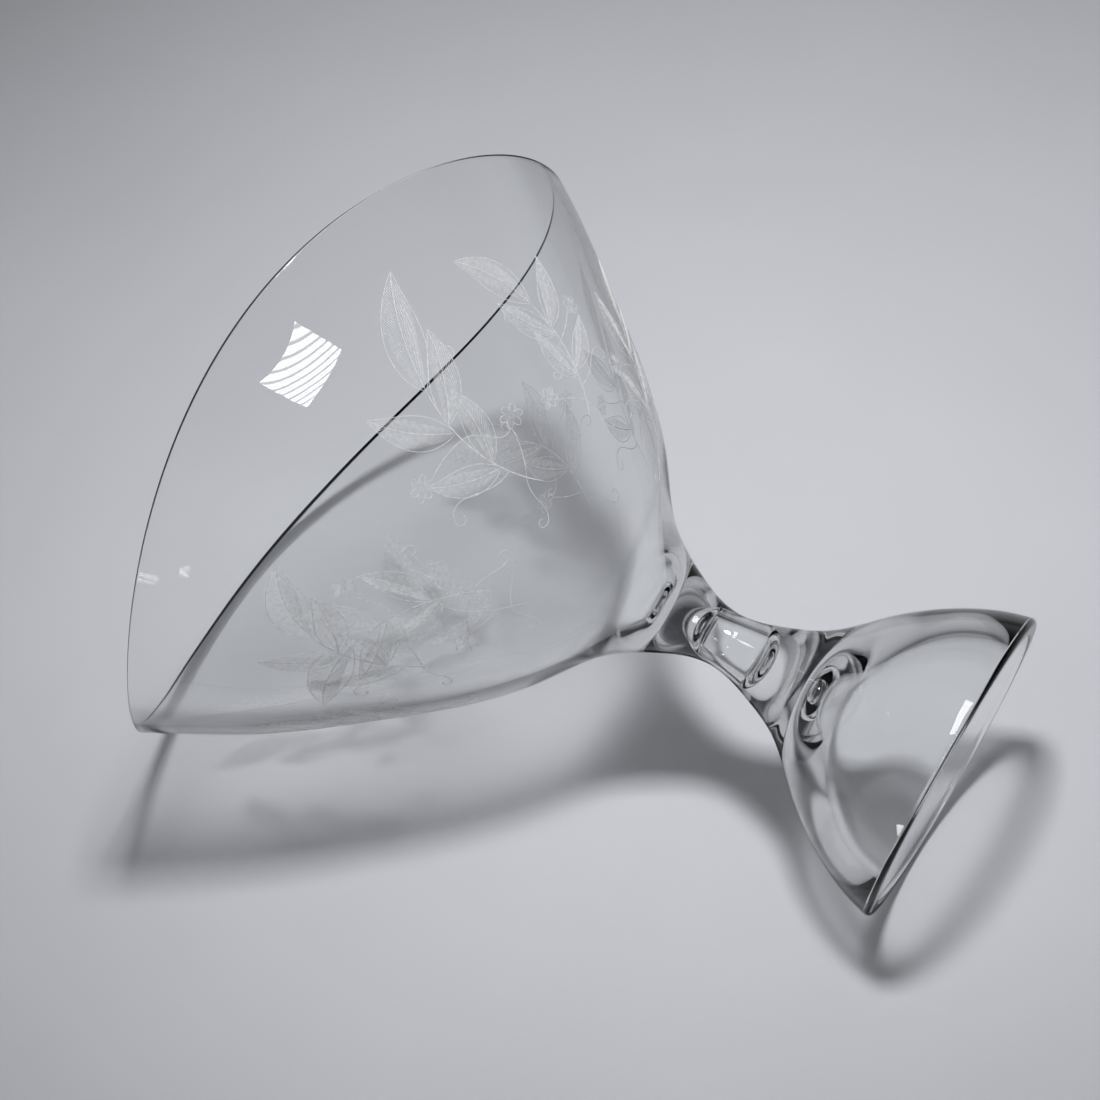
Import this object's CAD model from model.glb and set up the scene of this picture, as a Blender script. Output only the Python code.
import math

import bpy
import numpy as np
from mathutils import Matrix, Quaternion, Vector


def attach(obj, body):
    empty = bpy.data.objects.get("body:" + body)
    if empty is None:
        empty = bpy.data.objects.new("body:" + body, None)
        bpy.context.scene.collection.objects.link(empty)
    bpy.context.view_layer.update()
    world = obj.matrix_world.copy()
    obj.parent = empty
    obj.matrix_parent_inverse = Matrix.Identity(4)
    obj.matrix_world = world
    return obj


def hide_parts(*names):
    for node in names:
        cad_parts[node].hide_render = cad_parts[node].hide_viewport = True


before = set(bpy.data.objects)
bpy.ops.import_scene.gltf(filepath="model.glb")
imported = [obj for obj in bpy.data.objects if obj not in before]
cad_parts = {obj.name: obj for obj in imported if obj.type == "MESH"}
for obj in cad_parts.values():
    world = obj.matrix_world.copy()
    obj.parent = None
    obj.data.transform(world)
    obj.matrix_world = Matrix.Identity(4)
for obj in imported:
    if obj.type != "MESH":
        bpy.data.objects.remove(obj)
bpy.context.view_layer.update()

# The footed glass bowl, dressed in clear glass. Each of its three gathers is one closed mesh with the
# same outline as its solid. Outlines are in millimetres on the half-plane (radius, height), and meshes
# are in metres. The picture shows the bowl lying on a table, so here the table leans against the
# standing bowl and the camera is turned to match.

millimetre = 0.001

# The outer line, from the foot's ring to past the rim, and which of its points are the seats
outer_points = [
    (44.0, 1.4), (37.21, 18.82), (25.8, 34.34), (15.7, 45.5), (10.7, 56.1), (7.7, 68.0), (9.0, 76.0),
    (11.6, 82.0), (19.88, 94.96), (34.15, 106.3), (46.79, 117.96), (66.34, 141.94), (84.28, 167.0),
    (97.0, 190.0), (109.21, 213.0), (116.47, 227.8),
]
foot_seat_point = 3
bowl_seat_point = 7
ring_edge = outer_points[0]
foot_seat = outer_points[foot_seat_point]
bowl_seat = outer_points[bowl_seat_point]

# Wall of the bowl at its base and at its rim, its floor, and the rounded well at the bottom, in shares
# of the well's radius and of the base wall
base_wall = 3.4
rim_wall = 2.2
bowl_floor = 5.2
well_shares = [(0.68, 0.12), (1.18, 0.92)]

# The rim: a slanting saddle
rim_radius = 97.0
rim_height = 190.0
rim_tilt_rise = 14.5
rim_tilt = math.radians(155)
rim_saddle_rise = 11.0

# The rim's end: its slant, by how much that grows towards one side, its inner corner's height and its
# corners' rounding in half walls, and how many rows of the wall next to it throw a dark shade with it
lip_slant = math.radians(8.5)
lip_slant_swing = math.radians(5)
lip_steep_side = math.radians(95)
lip_top = 0.75
lip_corner = 0.3
lip_band = 2

# The foot's hollow, from its dome down to its mouth, and the rounding of the ring's edges
hollow_points = [
    (0.0, 38.8), (4.8, 38.1), (9.6, 35.9), (17.1, 30.6), (24.6, 24.0), (30.4, 17.0), (35.2, 9.0),
    (39.0, 1.4),
]
ring_rounding = 1.4

# The air bubble's two ends, from the tip to the side
bubble_high = [(0.0, 77.6), (2.3, 76.97), (3.98, 75.25), (4.6, 72.9)]
bubble_low = [(0.0, 52.2), (3.1, 53.03), (5.37, 55.3), (6.2, 58.4)]

# The engraving: the width of its hairlines, and how far they stand in and out of the outer face
hairline = 0.24
hairline_in = 0.03
hairline_out = 0.05

# Widths of its lines in hairlines, and what is left of a line's width at its two ends
stalk_width = 1.2
twig_width = 0.9
edge_width = 0.8
vein_width = 0.7
ray_width = 0.6
line_end = 0.4

# A leaf: the steps along it, half its width as a share of its length, and the shift of its broadest
# place towards its foot
leaf_steps = 24
leaf_half_width = 0.17
leaf_fullness = 0.8

# Its veins: the space between them, their lean from the midrib, the shortest one, the share of the leaf
# where the last one starts, how far ahead they look for the edge, the share of the way there that they
# go, and how much they curve
vein_steps = 3
vein_space = 0.85
vein_lean = math.radians(38)
shortest_vein = 0.6
last_vein = 0.93
vein_ahead = 0.06
vein_reach = 0.94
vein_curve = 0.10

# A blossom: its petals, with their roots, rays and heart in shares of its radius
petals = 6
petal_steps = 12
petal_root = 0.35
petal_roundness = 0.6
petal_rays = (-0.4, 0, 0.4)
ray_start = 0.3
ray_end = 0.75
heart_radius = 0.2
heart_steps = 14

# A spray: how far its stalk bows and where it runs straight, then the leaf at its tip and the pairs of
# leaves along it, each with its step of the stalk and its length as a share of the stalk
stalk_steps = 16
stalk_bow = 0.9
stalk_straight = 0.3
tip_leaf = 0.76
leaf_pairs = [(5, 0.52), (11, 0.60)]
leaf_lean = 0.85
leaf_bend = 0.5

# Its twigs with blossoms, each with its step of the stalk and its side, and the twig's length, lean and
# bow. A tendril starts some steps on from a twig: its lean, its length and the way it curls.
twigs = [(2, 1), (10, -1)]
twig_steps = 6
twig_length = 0.30
twig_lean = 1.25
twig_bow = 0.02
blossom_radius = 0.08
tendrils = [(2, 1.1, 0.65, 1), (0, 2.0, 0.45, -1)]

# A tendril: how far and how often it winds, and how far and how late it curls up
tendril_steps = 32
winding = 0.9
winding_turns = 2.6
curling = 5.5
curling_power = 4

# Sprays of leaves and blossoms: the bearing of the foot of the spray on the bowl in degrees, its way
# up the wall from the bowl's seat, its heading from straight up the wall, its length, and the side
# that it bends to
sprays = [
    (-92, 56, -14, 42, 1), (-128, 54, -30, 42, -1), (-66, 56, 22, 34, -1), (-158, 60, 6, 38, 1),
    (-24, 34, -10, 38, 1), (16, 40, 10, 38, -1), (58, 60, -12, 42, 1), (94, 62, 20, 42, -1),
    (130, 68, -8, 42, 1), (166, 56, 10, 40, -1),
]

# Mesh fineness: meridians, rows on each stretch of an outline, how they crowd towards the rim, and the
# places that a smooth line is worked out at
turns = 320
wall_rows = 150
stem_rows = 90
foot_rows = 90
end_rows = 40
lip_rows = 6
flat_rows = 6
corner_rows = 5
row_crowding = 1.25
line_places = 6000
on_axis = 1e-6

# A pixel of the picture is a 1100th of its width. The camera's place goes round the axis.
focal_pixels = 3656.4
picture_pixels = 1100.0
camera_radius = 949.97
camera_height = -58.6
camera_bearing = math.radians(-106.16)
camera_turn = Vector((-0.0459, 0.1832, 0.514))
sensor_width = 36
nearest_seen = 0.01
farthest_seen = 50

# Clear soda glass
glass_ior = 1.5
glass_colour = (0.985, 0.99, 0.99, 1)

# Its thick places shade the table more: the share of the light that still passes, by height in metres.
# Glass passes less light from this share of the way between face on and edge on.
shade_reach = 0.25
foot_shade = [(0.002, 0.25), (0.006, 1.0), (0.026, 1.0), (0.036, 0.70), (0.0455, 0.30)]
bowl_shade = [(0.082, 0.06), (0.091, 0.30), (0.104, 1.0)]
facing_share = 0.35

# The engraved lines: their whitish glass, the grit in them, how much they cover, and how much of the
# light goes on through them
frost_colour = (0.88, 0.89, 0.90, 1)
grit_scale = 900.0
grit_range = (0.3, 0.7)
frost_cover = (0.35, 0.80)
frost_through = 0.35

# The table top
table_dark = (0.50, 0.51, 0.54, 1)
table_light = (0.56, 0.57, 0.60, 1)
table_grain = 9.0
table_roughness = 0.55
table_gloss = 0.2
table_width = 3.0

# It is palest here, in metres to the picture's right and to its top, and fades with the square of the
# way from there, down to a least share. Farther out it passes into the backdrop.
bright_spot = (-0.02, 0.15)
table_fading = 4.0
least_tone = 0.55
table_edge = (0.36, 0.75)

# The studio: a small lamp over the table, dim walls and a pale backdrop. The lamp's place is given
# to the picture's right, to its top and up from the table.
key_spot = (0.070, -0.092, 0.800)
key_size = (0.11, 0.11)
key_power = 5.9
key_colour = (1, 1, 1)
fill_colour = (0.30, 0.30, 0.31, 1)

# Striped panels of light that only mirror on the glass: their corners in millimetres, and their
# stripes' width in metres, lean, darkness and edges
panel_corners = [
    [(-199, -601, -262), (-179, -565, -312), (67, -597, -301), (51, -635, -254)],
    [(-680, -75, -159), (-675, -84, -167), (-683, -39, -157), (-688, -30, -148)],
    [(-695, -15, -132), (-693, -23, -137), (-697, 17, -126), (-699, 25, -121)],
    [(334, -560, 342), (336, -590, 288), (49, -672, 303), (33, -658, 335)],
    [(-619, -216, 333), (-625, -266, 284), (-659, -178, 271), (-665, -153, 290)],
]
panel_strength = 16.0
panel_stripe = 0.0078
stripe_lean = 0.10
stripe_dark = 0.15
stripe_edges = (-0.9, -0.2)

# What the glass mirrors, by the share of the way up from the table's level to straight above it
room_colours = (
    (0.00, (0.24, 0.25, 0.26)),
    (0.10, (0.14, 0.14, 0.15)),
    (0.25, (0.03, 0.03, 0.035)),
)
backdrop_colour = (0.60, 0.61, 0.63, 1)

# The table touches the rim and the foot on this side of the axis. Its lean from the axis is searched
# for between two others by halving, and it lies under this height of the axis.
table_bearing = math.radians(108)
least_lean = -0.2
most_lean = 0.9
halvings = 40
middle_height = 0.09


def end_slope(u, points):
    """Slope at the first of four points, of the cubic through them."""
    return np.array([np.polyfit(u - u[0], points[:, k], 3)[2] for k in range(2)])


def smooth_line(points, level_start=False):
    """Closely spaced places on the smooth cubic line through the points, with its headings."""
    points = np.array(points, float)
    steps = np.linalg.norm(np.diff(points, axis=0), axis=1)
    u = np.concatenate([[0], np.cumsum(steps)])
    size = len(points)
    matrix, sides = np.eye(size), np.zeros((size, 2))
    sides[0] = end_slope(u[:4], points[:4])
    sides[-1] = end_slope(u[::-1][:4], points[::-1][:4])
    if level_start:
        sides[0] = np.linalg.norm(sides[0]), 0
    for i in range(1, size - 1):
        before, after = steps[i - 1], steps[i]
        matrix[i, i - 1:i + 2] = after, 2 * (before + after), before
        slope_before = (points[i] - points[i - 1]) / before
        slope_after = (points[i + 1] - points[i]) / after
        sides[i] = 3 * (after * slope_before + before * slope_after)
    slopes = np.linalg.solve(matrix, sides)
    places = np.linspace(0, u[-1], line_places)
    span = np.clip(np.searchsorted(u, places) - 1, 0, size - 2)
    h = steps[span][:, None]
    t = (places - u[span])[:, None] / h
    line = ((2 * t**3 - 3 * t**2 + 1) * points[span] + (t**3 - 2 * t**2 + t) * h * slopes[span]
            + (3 * t**2 - 2 * t**3) * points[span + 1] + (t**3 - t**2) * h * slopes[span + 1])
    heading = np.gradient(line, axis=0)
    heading /= np.linalg.norm(heading, axis=1)[:, None]
    return np.hstack([line, heading])


def straight_line(first, last):
    first, last = np.array(first, float), np.array(last, float)
    heading = (last - first) / np.linalg.norm(last - first)
    return np.array([[*first, *heading], [*last, *heading]])


def corner_line(centre, start_angle, end_angle, radius):
    angles = np.linspace(start_angle, end_angle, corner_rows)
    turn = math.copysign(1, end_angle - start_angle)
    return np.stack([
        centre[0] + radius * np.cos(angles), centre[1] + radius * np.sin(angles),
        -turn * np.sin(angles), turn * np.cos(angles),
    ], 1)


def lengths(line):
    return np.concatenate([[0], np.cumsum(np.linalg.norm(np.diff(line[:, :2], axis=0), axis=1))])


def nearest(line, place):
    return np.linalg.norm(line[:, :2] - np.array(place), axis=1).argmin()


def stretch(line, first, last):
    part = line[nearest(line, first):nearest(line, last) + 1].copy()
    part[0, :2], part[-1, :2] = first, last
    return part


def at_lengths(line, wanted):
    place = lengths(line)
    return np.stack([np.interp(wanted, place, line[:, k]) for k in range(4)], -1)


def rows_of(line, count):
    return at_lengths(line, np.linspace(0, lengths(line)[-1], count))


def turned_back(line):
    """The same line, run the other way."""
    return line[::-1] * np.array([1, 1, -1, -1])


outer_line = smooth_line(outer_points)


def inner_wall_line():
    floor = bowl_seat[1] + bowl_floor
    well_radius = bowl_seat[0] - base_wall
    points = [(0.0, floor)]
    for radius_share, rise_share in well_shares:
        points.append((well_radius * radius_share, floor + base_wall * rise_share))
    for place in outer_points[bowl_seat_point + 1:]:
        share = min((place[1] - bowl_seat[1]) / (rim_height - bowl_seat[1]), 1)
        wall = base_wall + (rim_wall - base_wall) * share
        heading = outer_line[nearest(outer_line, place), 2:]
        points.append((place[0] - wall * heading[1], place[1] + wall * heading[0]))
    return smooth_line(points, level_start=True)


def rim_length(line, angle, side):
    """How far along a face of the wall its rounded lip starts, on the meridian at that angle. The
    lip's top lies in the rim's saddle. side is 1 on the outer face and -1 on the inner one."""
    lip = rim_wall / 2
    radius = line[:, 0] - side * lip * line[:, 3]
    height = line[:, 1] + side * lip * line[:, 2] + lip
    share = radius / rim_radius
    level = (rim_height + rim_tilt_rise * share * math.cos(angle - rim_tilt)
             - rim_saddle_rise * share**2 * math.cos(2 * angle))
    over = height - level
    k = int(np.argmax(over > 0))
    part = over[k - 1] / (over[k - 1] - over[k])
    place = lengths(line)
    return place[k - 1] + part * (place[k] - place[k - 1])


def in_scene(name, content):
    made = bpy.data.objects.new(name, content)
    bpy.context.scene.collection.objects.link(made)
    return made


def new_mesh(name, points, faces, materials=()):
    mesh = bpy.data.meshes.new(name)
    mesh.from_pydata(points, [], faces)
    for material in materials:
        mesh.materials.append(material)
    return mesh


def in_metres(points):
    return [Vector(point) * millimetre for point in points]


class Shell:
    """One closed mesh of revolution. Each stretch goes on from the last one's end, with the glass on
    its left, so that its normals point out of the glass."""

    def __init__(self):
        self.angles = np.linspace(0, 2 * math.pi, turns, endpoint=False)
        self.points = []
        self.faces = []
        self.normals = []
        self.slots = []
        self.last_ring = None

    def ring(self, row):
        """Adds one ring of points. A row is one place, or a place for each meridian."""
        row = np.broadcast_to(row, (turns, 4))
        first = len(self.points)
        if row[0, 0] < on_axis:
            self.points.append((0.0, 0.0, row[0, 1]))
            return np.full(turns, first)
        across = row[:, :1] * np.stack([np.cos(self.angles), np.sin(self.angles)], 1)
        self.points.extend(map(tuple, np.hstack([across, row[:, 1:2]])))
        return np.arange(first, first + turns)

    def ring_normals(self, row):
        row = np.broadcast_to(row, (turns, 4))
        return np.stack([
            row[:, 3] * np.cos(self.angles), row[:, 3] * np.sin(self.angles), -row[:, 2],
        ], 1)

    def go_on(self, rows, slot=0):
        below = self.last_ring if self.last_ring is not None else self.ring(rows[0])
        below_normals = self.ring_normals(rows[0])
        for row in rows[1:]:
            above = self.ring(row)
            above_normals = self.ring_normals(row)
            for j in range(turns):
                k = (j + 1) % turns
                corners = [(below[j], below_normals[j]), (below[k], below_normals[k]),
                           (above[k], above_normals[k]), (above[j], above_normals[j])]
                if below[j] == below[k]:
                    corners.pop(0)
                elif above[j] == above[k]:
                    corners.pop()
                self.faces.append([int(index) for index, normal in corners])
                self.normals.extend(tuple(normal) for index, normal in corners)
                self.slots.append(slot)
            below, below_normals = above, above_normals
        self.last_ring = below

    def start_again(self):
        self.last_ring = None

    def piece(self, name, materials):
        mesh = new_mesh(name, in_metres(self.points), self.faces, materials)
        mesh.polygons.foreach_set("material_index", self.slots)
        mesh.polygons.foreach_set("use_smooth", [True] * len(self.faces))
        mesh.normals_split_custom_set(self.normals)
        return in_scene(name, mesh)


def flat(first, last):
    return rows_of(straight_line(first, last), flat_rows)


def lip_places(slants):
    """The rim's ground end, slanting up from the outer face to the inner one, and its two rounded
    corners. For each meridian: the place across and up the wall in half walls, and how far the
    heading has turned."""
    none = np.zeros_like(slants)
    end_turns = math.pi / 2 - slants
    outer_top = lip_top - 2 * np.tan(slants)
    places = []
    corners = [(1, outer_top, none, end_turns), (-1, lip_top, end_turns, none + math.pi)]
    for out, rise, first, last in corners:
        back = lip_corner * np.tan((last - first) / 2)
        across = out + back * np.sin(first) - lip_corner * np.cos(first)
        up = rise - back * np.cos(first) - lip_corner * np.sin(first)
        for share in np.linspace(0, 1, lip_rows):
            turned = first + (last - first) * share
            place = across + lip_corner * np.cos(turned), up + lip_corner * np.sin(turned)
            places.append((*place, turned))
    return places


def bowl_shell():
    outer = outer_line[nearest(outer_line, bowl_seat):].copy()
    outer[0, :2] = bowl_seat
    inner = inner_wall_line()
    shell = Shell()
    outer_reach = np.array([rim_length(outer, angle, 1) for angle in shell.angles])
    inner_reach = np.array([rim_length(inner, angle, -1) for angle in shell.angles])
    outer_top = at_lengths(outer, outer_reach)
    inner_top = at_lengths(inner, inner_reach)
    middle = (outer_top[:, :2] + inner_top[:, :2]) / 2
    half = (outer_top[:, :2] - inner_top[:, :2]) / 2
    up = (outer_top[:, 2:] + inner_top[:, 2:]) / 2
    width = np.linalg.norm(half, axis=1)[:, None]
    slants = lip_slant + lip_slant_swing * np.cos(shell.angles - lip_steep_side)
    lip = lip_places(slants[:, None])
    shares = np.linspace(0, 1, wall_rows)[:, None] ** row_crowding
    outside = at_lengths(outer, shares * (outer_reach + lip[0][1][:, 0] * rim_wall / 2))
    inside = turned_back(at_lengths(inner, shares * (inner_reach + lip[-1][1][:, 0] * rim_wall / 2)))
    rounding = []
    for out, rise, turned in lip:
        place = middle + half * out + up * width * rise
        heading = up * np.cos(turned) - half / width * np.sin(turned)
        rounding.append(np.hstack([place, heading]))
    shell.go_on(flat((0, bowl_seat[1]), bowl_seat), slot=1)
    shell.go_on(outside[:-lip_band])
    shell.go_on(outside[-lip_band - 1:], slot=2)
    shell.go_on(rounding, slot=2)
    shell.go_on(inside[:lip_band + 1], slot=2)
    shell.go_on(inside[lip_band:])
    return shell


def stem_shell():
    shell = Shell()
    shell.go_on(flat((0, foot_seat[1]), foot_seat), slot=1)
    shell.go_on(rows_of(stretch(outer_line, foot_seat, bowl_seat), stem_rows))
    shell.go_on(flat(bowl_seat, (0, bowl_seat[1])), slot=1)
    shell.start_again()
    low_end = smooth_line(bubble_low, level_start=True)
    high_end = smooth_line(bubble_high, level_start=True)
    shell.go_on(rows_of(high_end, end_rows))
    shell.go_on(flat(bubble_high[-1], bubble_low[-1]))
    shell.go_on(rows_of(turned_back(low_end), end_rows))
    return shell


def foot_shell():
    mouth_edge = hollow_points[-1]
    mouth_corner = (mouth_edge[0] + ring_rounding, ring_rounding)
    ring_corner = (ring_edge[0] - ring_rounding, ring_rounding)
    shell = Shell()
    shell.go_on(rows_of(smooth_line(hollow_points, level_start=True), foot_rows))
    shell.go_on(corner_line(mouth_corner, math.pi, math.pi * 3 / 2, ring_rounding))
    shell.go_on(flat((mouth_corner[0], 0), (ring_corner[0], 0)))
    shell.go_on(corner_line(ring_corner, math.pi * 3 / 2, math.pi * 2, ring_rounding))
    shell.go_on(rows_of(stretch(outer_line, ring_edge, foot_seat), foot_rows))
    shell.go_on(flat(foot_seat, (0, foot_seat[1])), slot=1)
    return shell


def headings(turning):
    return np.stack([np.sin(turning), np.cos(turning)], 1)


def path_from(foot, turning, step):
    """A path that starts at the foot and goes one step along each heading."""
    return np.array(foot) + np.vstack([[0, 0], np.cumsum(step * headings(turning), axis=0)])


class Engraving:
    """Fine frosted lines on the bowl's outer face. A place on it is the way round and the way up from
    a spray's foot, both along the glass."""

    def __init__(self):
        self.points = []
        self.faces = []
        self.line = outer_line[nearest(outer_line, bowl_seat):]
        self.bearing = self.start = 0.0

    def from_foot(self, bearing, start):
        self.bearing, self.start = math.radians(bearing), start

    def on_glass(self, places):
        """Places on the outer face, and the directions straight out of it."""
        rows = at_lengths(self.line, self.start + places[:, 1])
        angles = self.bearing + places[:, 0] / rows[:, 0]
        across = np.stack([np.cos(angles), np.sin(angles)], 1)
        spots = np.hstack([rows[:, :1] * across, rows[:, 1:2]])
        outward = np.hstack([rows[:, 3:] * across, -rows[:, 2:3]])
        return spots, outward

    def stroke(self, places, width=1.0):
        """One line, so many hairlines wide, as a thin closed bar with three sides and tapered ends."""
        places = np.array(places, float)
        spots, outward = self.on_glass(places)
        ahead = np.gradient(spots, axis=0)
        aside = np.cross(outward, ahead)
        aside /= np.linalg.norm(aside, axis=1)[:, None]
        half = np.full((len(places), 1), width * hairline / 2)
        half[[0, -1]] *= line_end
        low = spots - outward * hairline_in
        first = len(self.points)
        for left, right, top in zip(low + aside * half, low - aside * half,
                                    spots + outward * hairline_out):
            self.points.extend([tuple(left), tuple(right), tuple(top)])
        count = len(places)
        for k in range(count - 1):
            a = first + 3 * k
            for i in range(3):
                j = (i + 1) % 3
                self.faces.append([a + i, a + j, a + 3 + j, a + 3 + i])
        last = first + 3 * (count - 1)
        self.faces.append([first + 2, first + 1, first])
        self.faces.append([last, last + 1, last + 2])

    def leaf(self, foot, heading, length, bend):
        """A lance-shaped leaf with a midrib, two edges and close slanting veins."""
        share = np.linspace(0, 1, leaf_steps + 1)
        turning = heading + bend * share
        rib = path_from(foot, turning[1:], length / leaf_steps)
        half = leaf_half_width * length * np.sin(math.pi * share**leaf_fullness)
        self.stroke(rib)
        for side in (-1, 1):
            square = side * np.stack([np.cos(turning), -np.sin(turning)], 1)
            self.stroke(rib + square * half[:, None], width=edge_width)
            for place in np.arange(vein_space, length * last_vein, vein_space):
                at = place / length
                edge = np.interp(min(at + vein_ahead, 1), share, half) / math.sin(vein_lean)
                reach = edge * vein_reach
                if reach < shortest_vein:
                    continue
                start = np.array([np.interp(at, share, rib[:, k]) for k in range(2)])
                lean = np.interp(at, share, turning) + side * vein_lean
                way = reach * np.linspace(0, 1, vein_steps + 1)[:, None]
                curve = side * vein_curve * way**2 / max(reach, 1)
                self.stroke(start + way * np.array([math.sin(lean), math.cos(lean)])
                            - curve * np.array([math.cos(lean), -math.sin(lean)]), width=vein_width)

    def blossom(self, centre, radius):
        """Round petals about a small ring."""
        half_petal = math.pi / petals
        for petal in range(petals):
            turn = 2 * half_petal * petal
            wide = np.linspace(-1, 1, petal_steps + 1) * half_petal
            bulge = np.cos(wide * petals / 2)**petal_roundness
            out = radius * (petal_root + (1 - petal_root) * bulge)
            self.stroke(centre + headings(turn + wide) * out[:, None], width=edge_width)
            for spread in petal_rays:
                angle = turn + spread * half_petal
                ray = np.array([math.sin(angle), math.cos(angle)]) * radius
                self.stroke([centre + ray * ray_start, centre + ray * ray_end], width=ray_width)
        ring = np.linspace(0, 2 * math.pi, heart_steps + 1)
        self.stroke(centre + radius * heart_radius * headings(ring), width=edge_width)

    def tendril(self, foot, heading, length, curl):
        """A thread that winds one way, then closes into a curl."""
        share = np.linspace(0, 1, tendril_steps + 1)
        turned = winding * np.sin(winding_turns * share) - curling * share**curling_power
        self.stroke(path_from(foot, heading + curl * turned, length / tendril_steps), width=edge_width)

    def spray(self, bearing, start, heading, length, side):
        """A bowed stalk with a long leaf at its tip, and pairs of leaves, twigs with blossoms and
        tendrils along it."""
        self.from_foot(bearing, start)
        share = np.linspace(0, 1, stalk_steps + 1)
        turning = math.radians(heading) + side * stalk_bow * (share - stalk_straight)
        stalk = path_from((0, 0), turning[1:], length / stalk_steps)
        self.stroke(stalk, width=stalk_width)
        self.leaf(stalk[-1], turning[-1], length * tip_leaf, side * leaf_bend)
        for k, size in leaf_pairs:
            for hand in (-1, 1):
                foot = stalk[k + (hand > 0)]
                self.leaf(foot, turning[k] + hand * leaf_lean, length * size, -hand * leaf_bend)
        for k, twig_side in twigs:
            hand = side * twig_side
            lean = turning[k] + hand * twig_lean
            along = length * twig_length * np.linspace(0, 1, twig_steps + 1)[:, None]
            way = np.array([math.sin(lean), math.cos(lean)])
            twig = stalk[k] + along * way + along**2 * twig_bow * np.array([-way[1], way[0]])
            self.stroke(twig, width=twig_width)
            self.blossom(twig[-1] + way * length * blossom_radius, length * blossom_radius)
            for on, tendril_lean, size, curl in tendrils:
                lean = turning[k] - hand * tendril_lean
                self.tendril(stalk[k + on], lean, length * size, hand * curl)

    def piece(self, name, material):
        return in_scene(name, new_mesh(name, in_metres(self.points), self.faces, [material]))


def set_input(tree, socket, value):
    if isinstance(value, bpy.types.NodeSocket):
        tree.links.new(value, socket)
    else:
        socket.default_value = value


def linked(tree, kind, **inputs):
    """A node with its inputs set, by name, to values or to other nodes' outputs. An underscore and a
    number stand for the input at that place."""
    node = tree.nodes.new(kind)
    for name, value in inputs.items():
        socket = node.inputs[int(name[1:])] if name[0] == "_" else node.inputs[name.replace("_", " ")]
        set_input(tree, socket, value)
    return node


def math_node(tree, operation, first, second):
    node = linked(tree, "ShaderNodeMath", _0=first, _1=second)
    node.operation = operation
    return node.outputs[0]


def colour_mix(tree, factor, first, second, blend="MIX"):
    mix = tree.nodes.new("ShaderNodeMix")
    mix.data_type = "RGBA"
    mix.blend_type = blend
    for name, value in (("Factor", factor), ("A", first), ("B", second)):
        set_input(tree, mix.inputs[name], value)
    return mix.outputs[2]


def colour_stops(tree, factor, stops):
    ramp = tree.nodes.new("ShaderNodeValToRGB")
    elements = ramp.color_ramp.elements
    while len(elements) < len(stops):
        elements.new(0.5)
    for element, (position, colour) in zip(elements, stops):
        element.position = position
        element.color = (*colour, 1)
    tree.links.new(factor, ramp.inputs["Fac"])
    return ramp.outputs["Color"]


def place_on_object(tree):
    return tree.nodes.new("ShaderNodeTexCoord").outputs["Object"]


def new_material(name):
    material = bpy.data.materials.new(name)
    material.use_nodes = True
    material.node_tree.nodes.clear()
    return material, material.node_tree


def shown(tree, shader):
    output = tree.nodes.new("ShaderNodeOutputMaterial")
    tree.links.new(shader, output.inputs["Surface"])


def glass_material(name, wave_scale, wave_depth, edge_shade, middle_shade, shade_heights=()):
    """Clear glass with a faint hand-made waviness. Light passes through it to what it shades, less
    so where the wall is seen edge on."""
    material, tree = new_material(name)
    place = place_on_object(tree)
    waves = linked(tree, "ShaderNodeTexNoise", Vector=place, Scale=wave_scale, Detail=1.0)
    bump = linked(
        tree, "ShaderNodeBump", Height=waves.outputs["Fac"], Strength=1.0, Distance=wave_depth)
    glass = linked(
        tree, "ShaderNodeBsdfPrincipled", Base_Color=glass_colour, Roughness=0.0, IOR=glass_ior,
        Transmission_Weight=1.0, Normal=bump.outputs["Normal"],
    )
    facing = linked(tree, "ShaderNodeLayerWeight", Blend=0.5).outputs["Facing"]
    passed = colour_stops(tree, facing, [(facing_share, middle_shade), (1.0, edge_shade)])
    if shade_heights:
        height = linked(tree, "ShaderNodeSeparateXYZ", _0=place).outputs["Z"]
        share = math_node(tree, "MULTIPLY", height, 1 / shade_reach)
        stops = [(stop / shade_reach, (value, value, value)) for stop, value in shade_heights]
        passed = colour_mix(tree, 1.0, passed, colour_stops(tree, share, stops), blend="MULTIPLY")
    clear = linked(tree, "ShaderNodeBsdfTransparent", Color=passed)
    is_shadow = tree.nodes.new("ShaderNodeLightPath").outputs["Is Shadow Ray"]
    both = linked(tree, "ShaderNodeMixShader", _0=is_shadow, _1=glass.outputs[0], _2=clear.outputs[0])
    shown(tree, both.outputs[0])
    return material


def frosted_material():
    """Hairlines cut into the glass: whitish, and half clear."""
    material, tree = new_material("frosted_line")
    place = place_on_object(tree)
    grit = linked(tree, "ShaderNodeTexNoise", Vector=place, Scale=grit_scale, Detail=2.0)
    opacity = linked(
        tree, "ShaderNodeMapRange", Value=grit.outputs["Fac"], From_Min=grit_range[0],
        From_Max=grit_range[1], To_Min=frost_cover[0], To_Max=frost_cover[1])
    white = linked(tree, "ShaderNodeBsdfDiffuse", Color=frost_colour)
    through = linked(tree, "ShaderNodeBsdfTranslucent", Color=frost_colour)
    frost = linked(
        tree, "ShaderNodeMixShader", _0=frost_through, _1=white.outputs[0], _2=through.outputs[0])
    clear = linked(tree, "ShaderNodeBsdfTransparent", Color=(1, 1, 1, 1))
    both = linked(
        tree, "ShaderNodeMixShader", _0=opacity.outputs[0], _1=clear.outputs[0], _2=frost.outputs[0])
    shown(tree, both.outputs[0])
    return material


def seam_material():
    """The fused seats, where the glass goes on without a break."""
    material, tree = new_material("fused_seam")
    shown(tree, linked(tree, "ShaderNodeBsdfTransparent", Color=(1, 1, 1, 1)).outputs[0])
    return material


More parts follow.
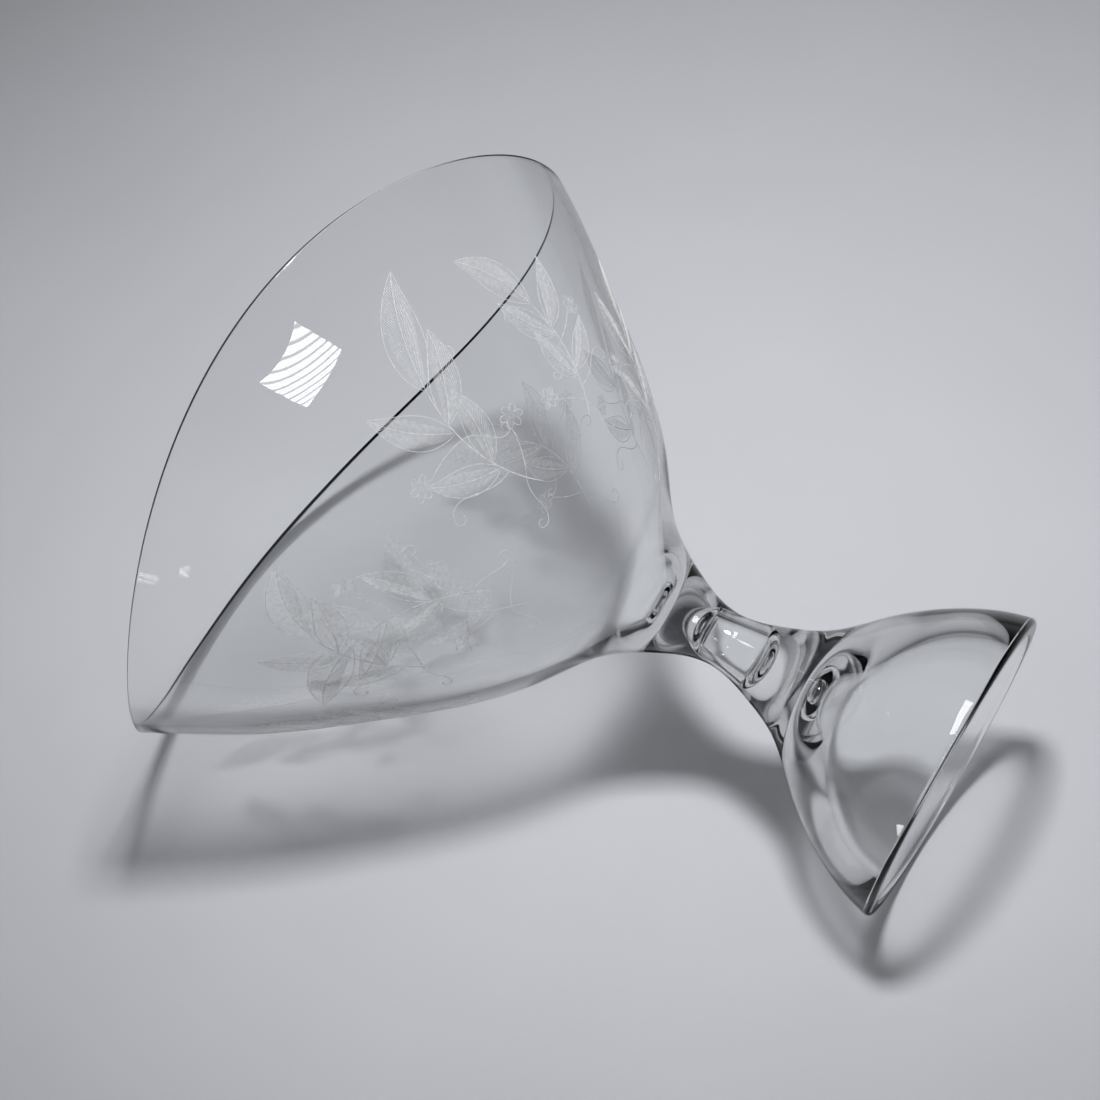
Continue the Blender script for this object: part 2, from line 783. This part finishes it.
def table_material():
    """Matte pale table top, seen only from above."""
    material, tree = new_material("table_top")
    place = place_on_object(tree)
    grain = linked(tree, "ShaderNodeTexNoise", Vector=place, Scale=table_grain, Detail=4.0)
    tone = colour_mix(tree, grain.outputs["Fac"], table_dark, table_light)
    away = linked(tree, "ShaderNodeVectorMath", _0=place, _1=(*bright_spot, 0.0))
    away.operation = "DISTANCE"
    squared = math_node(tree, "POWER", away.outputs["Value"], 2.0)
    left = math_node(tree, "SUBTRACT", 1.0, math_node(tree, "MULTIPLY", squared, table_fading))
    colour = linked(tree, "ShaderNodeVectorMath", _0=tone)
    colour.operation = "SCALE"
    set_input(tree, colour.inputs["Scale"], math_node(tree, "MAXIMUM", left, least_tone))
    matte = linked(
        tree, "ShaderNodeBsdfPrincipled", Base_Color=colour.outputs[0], Roughness=table_roughness,
        Specular_IOR_Level=table_gloss)
    clear = linked(tree, "ShaderNodeBsdfTransparent", Color=(1, 1, 1, 1))
    behind = tree.nodes.new("ShaderNodeNewGeometry").outputs["Backfacing"]
    past_edge = linked(
        tree, "ShaderNodeMapRange", Value=away.outputs["Value"], From_Min=table_edge[0],
        From_Max=table_edge[1])
    gone = math_node(tree, "MAXIMUM", behind, past_edge.outputs[0])
    both = linked(tree, "ShaderNodeMixShader", _0=gone, _1=matte.outputs[0], _2=clear.outputs[0])
    shown(tree, both.outputs[0])
    return material


def camera_axes():
    """The camera's right, down and forward, seen from the place where it stands."""
    ahead = Vector((-math.cos(camera_bearing), -math.sin(camera_bearing), 0))
    right = Vector((0, 0, -1))
    base = Matrix((right, ahead.cross(right), ahead))
    turn = Quaternion(camera_turn.normalized(), camera_turn.length).to_matrix()
    return turn @ base


def place_camera(axes):
    lens = bpy.data.cameras.new("picture_camera")
    lens.sensor_width = sensor_width
    lens.lens = focal_pixels / picture_pixels * lens.sensor_width
    lens.clip_start = nearest_seen
    lens.clip_end = farthest_seen
    camera = in_scene("picture_camera", lens)
    turn = Matrix((axes[0], -axes[1], -axes[2])).transposed().to_4x4()
    x, y = camera_radius * math.cos(camera_bearing), camera_radius * math.sin(camera_bearing)
    spot = Vector((x, y, camera_height)) * millimetre
    camera.matrix_world = Matrix.Translation(spot) @ turn
    bpy.context.scene.camera = camera


def corner_places(piece):
    places = np.zeros(len(piece.data.vertices) * 3)
    piece.data.vertices.foreach_get("co", places)
    return places.reshape(-1, 3)


def table_down(bowl_places, foot_places):
    """The direction straight down into the table that the rim and the foot both touch, and how far
    down it is from the origin."""
    low, high = least_lean, most_lean
    for halving in range(halvings):
        lean = (low + high) / 2
        down = np.array([math.cos(lean) * math.cos(table_bearing),
                         math.cos(lean) * math.sin(table_bearing), -math.sin(lean)])
        if (bowl_places @ down).max() > (foot_places @ down).max():
            low = lean
        else:
            high = lean
    return Vector(down), (bowl_places @ down).max()


def square(name, width, material):
    half = width / 2
    corners = [(-half, -half, 0), (half, -half, 0), (half, half, 0), (-half, half, 0)]
    return in_scene(name, new_mesh(name, corners, [(0, 1, 2, 3)], [material]))


def facing_frame(away, upward):
    """Turns Z to the first direction and Y as near as can be to the second."""
    z = away.normalized()
    x = upward.cross(z).normalized()
    return Matrix((x, z.cross(x), z)).transposed().to_4x4()


def shine_once(light):
    """The lamp lights what is seen, but not what matte surfaces pass on, so the glass throws its
    plain shade on the table and no glaring focused patches."""
    light.use_nodes = True
    tree = light.node_tree
    path = tree.nodes.new("ShaderNodeLightPath")
    strength = math_node(tree, "LESS_THAN", path.outputs["Diffuse Depth"], 0.5)
    emission = next(node for node in tree.nodes if node.type == "EMISSION")
    tree.links.new(strength, emission.inputs["Strength"])


def area_lamp(name, spot, target, upward, size, power, colour):
    light = bpy.data.lights.new(name, "AREA")
    light.shape = "RECTANGLE"
    light.size, light.size_y = size
    light.energy = power
    light.color = colour
    shine_once(light)
    lamp = in_scene(name, light)
    lamp.matrix_world = Matrix.Translation(spot) @ facing_frame(spot - target, upward)
    lamp.visible_camera = False


def panel_material():
    """Light in slanting stripes."""
    material, tree = new_material("panel_light")
    place = linked(tree, "ShaderNodeSeparateXYZ", _0=place_on_object(tree)).outputs
    slant = math_node(tree, "MULTIPLY", place["X"], stripe_lean)
    along = math_node(tree, "ADD", place["Z"], slant)
    wave = math_node(tree, "SINE", math_node(tree, "MULTIPLY", along, 2 * math.pi / panel_stripe), 0.0)
    bright = linked(
        tree, "ShaderNodeMapRange", Value=wave, From_Min=stripe_edges[0], From_Max=stripe_edges[1],
        To_Min=stripe_dark, To_Max=1.0)
    strength = math_node(tree, "MULTIPLY", bright.outputs[0], panel_strength)
    shown(tree, linked(tree, "ShaderNodeEmission", Color=(1, 1, 1, 1), Strength=strength).outputs[0])
    return material


def panel_light():
    """Panels that only the glass mirrors."""
    corners = in_metres(corner for panel in panel_corners for corner in panel)
    faces = [(k, k + 1, k + 2, k + 3) for k in range(0, len(corners), 4)]
    made = in_scene("panel_light", new_mesh("panel_light", corners, faces, [panel_material()]))
    made.visible_camera = made.visible_diffuse = made.visible_transmission = made.visible_shadow = False
    return made


def light_the_room(above):
    """Seen past the object or straight through it, the room is a pale backdrop. What the glass
    mirrors is pale walls and a dark ceiling, as in a studio."""
    world = bpy.data.worlds.new("studio")
    world.use_nodes = True
    tree = world.node_tree
    tree.nodes.clear()
    path = tree.nodes.new("ShaderNodeLightPath")
    way = tree.nodes.new("ShaderNodeTexCoord").outputs["Generated"]
    height = linked(tree, "ShaderNodeVectorMath", _0=way, _1=tuple(above))
    height.operation = "DOT_PRODUCT"
    room = colour_stops(tree, height.outputs["Value"], room_colours)
    mirrored = math_node(tree, "GREATER_THAN", path.outputs["Glossy Depth"], 0.5)
    seen = math_node(
        tree, "MAXIMUM", path.outputs["Is Camera Ray"], path.outputs["Is Transmission Ray"])
    straight = math_node(tree, "MULTIPLY", seen, math_node(tree, "SUBTRACT", 1.0, mirrored))
    colour = colour_mix(tree, mirrored, fill_colour, room)
    colour = colour_mix(tree, straight, colour, backdrop_colour)
    background = linked(tree, "ShaderNodeBackground", Color=colour, Strength=1.0)
    output = tree.nodes.new("ShaderNodeOutputWorld")
    tree.links.new(background.outputs[0], output.inputs["Surface"])
    bpy.context.scene.world = world


bowl_glass = glass_material(
    "bowl_glass", wave_scale=22.0, wave_depth=0.00015, edge_shade=(0.42, 0.42, 0.43),
    middle_shade=(0.95, 0.95, 0.95), shade_heights=bowl_shade)
lip_glass = glass_material(
    "lip_glass", wave_scale=22.0, wave_depth=0.00015, edge_shade=(0.20, 0.20, 0.21),
    middle_shade=(0.28, 0.28, 0.29))
stem_glass = glass_material(
    "stem_glass", wave_scale=30.0, wave_depth=0.0002, edge_shade=(0.03, 0.03, 0.03),
    middle_shade=(0.08, 0.08, 0.08))
foot_glass = glass_material(
    "foot_glass", wave_scale=26.0, wave_depth=0.0003, edge_shade=(0.20, 0.20, 0.21),
    middle_shade=(0.94, 0.94, 0.94), shade_heights=foot_shade)
seam = seam_material()

bowl = bowl_shell().piece("glass_bowl", [bowl_glass, seam, lip_glass])
stem = stem_shell().piece("glass_stem", [stem_glass, seam])
foot = foot_shell().piece("glass_foot", [foot_glass, seam])
for piece, node in ((bowl, "bowl"), (stem, "stem"), (foot, "foot")):
    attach(piece, "root")
    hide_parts(node)

engraving = Engraving()
for spray in sprays:
    engraving.spray(*spray)
engraved = engraving.piece("engraved_sprays", frosted_material())
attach(engraved, "root")

axes = camera_axes()
place_camera(axes)

down, depth = table_down(corner_places(bowl), corner_places(foot))
centre = Vector((0, 0, middle_height))
on_table = centre + down * (depth - centre.dot(down))
picture_up = -axes[1]
table_up = (picture_up - down * picture_up.dot(down)).normalized()
table = square("table_top", table_width, table_material())
table.matrix_world = Matrix.Translation(on_table) @ facing_frame(-down, table_up)

table_right = table_up.cross(-down)
key_place = on_table + table_right * key_spot[0] + table_up * key_spot[1] - down * key_spot[2]
area_lamp("key_lamp", key_place, on_table, table_up, key_size, key_power, key_colour)
panel_light()
light_the_room(-down)

bpy.context.scene.view_settings.view_transform = "Standard"
